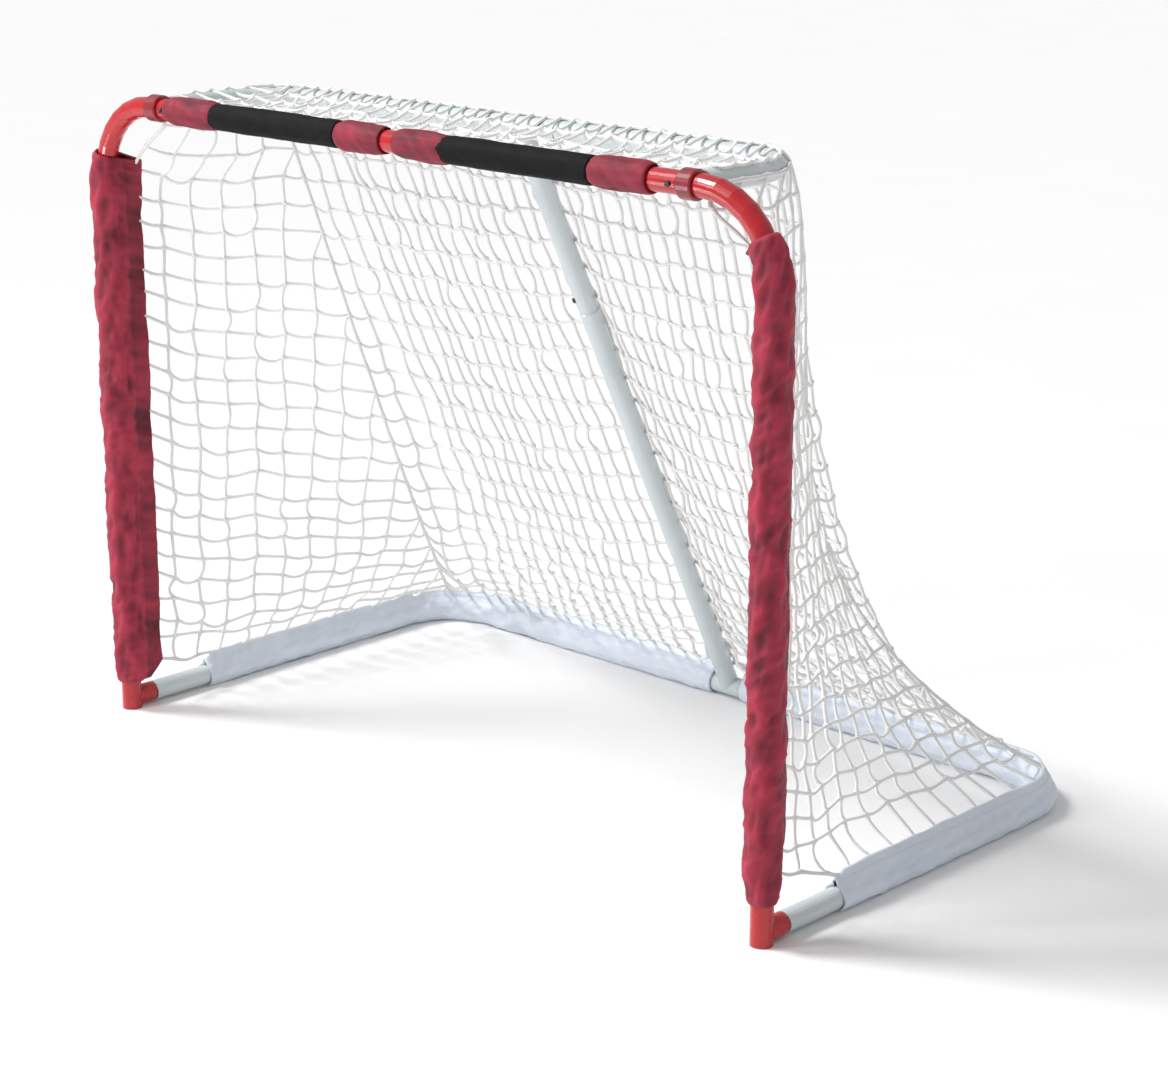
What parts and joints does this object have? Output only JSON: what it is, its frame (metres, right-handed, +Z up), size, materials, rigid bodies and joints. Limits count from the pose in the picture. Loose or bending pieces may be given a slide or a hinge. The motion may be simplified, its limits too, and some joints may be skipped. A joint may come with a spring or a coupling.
{
  "type": "hockey goal",
  "caption": "Street hockey goal with a tubular steel frame, a shallow top shelf, a sloping centre post and knotted netting held by nylon sleeves.",
  "frame": {"origin": "on the floor, under the middle of the goal's overall box", "axes": "+X across the mouth, +Y from the mouth to the back, +Z up"},
  "size_m": [1.3758, 0.7533, 1.0046],
  "materials": {
    "red_paint": "gloss",
    "white_paint": "satin",
    "burgundy_nylon": "woven nylon",
    "white_nylon": "woven nylon",
    "black_nylon": "woven nylon",
    "twine": "knotted twine",
    "black_steel": "blackened"
  },
  "bodies": {
    "front_frame": {"post_left": "red_paint", "post_right": "red_paint", "crossbar": "red_paint", "collar_left": "red_paint", "collar_right": "red_paint", "arm_spigot_left": "red_paint", "arm_spigot_right": "red_paint", "foot_stub_left": "red_paint", "foot_stub_right": "red_paint", "crossbar_screw_left": "black_steel", "crossbar_screw_right": "black_steel", "post_sleeve_left": "burgundy_nylon", "post_sleeve_right": "burgundy_nylon", "crossbar_sleeve_left_a": "burgundy_nylon", "crossbar_sleeve_left_b": "burgundy_nylon", "crossbar_sleeve_right_a": "burgundy_nylon", "crossbar_sleeve_right_b": "burgundy_nylon", "crossbar_band_left": "black_nylon", "crossbar_band_right": "black_nylon"},
    "rear_frame": {"shelf_arm_left": "white_paint", "shelf_arm_right": "white_paint", "shelf_tee": "white_paint", "shelf_tee_stem": "white_paint", "shelf_tee_screw_left": "black_steel", "shelf_tee_screw_right": "black_steel", "centre_post": "white_paint", "centre_post_screw": "black_steel", "base_tee": "white_paint", "base_tube_left": "white_paint", "base_tube_right": "white_paint", "base_sleeve_left": "white_nylon", "base_sleeve_right": "white_nylon", "net_top": "twine", "net_back": "twine", "net_left": "twine", "net_right": "twine"}
  },
  "joints": [
    {"name": "rear_frame_pull", "type": "slide", "parent": "front_frame", "child": "rear_frame", "axis": [0, 1, 0], "range_m": [0, 0.045]}
  ]
}
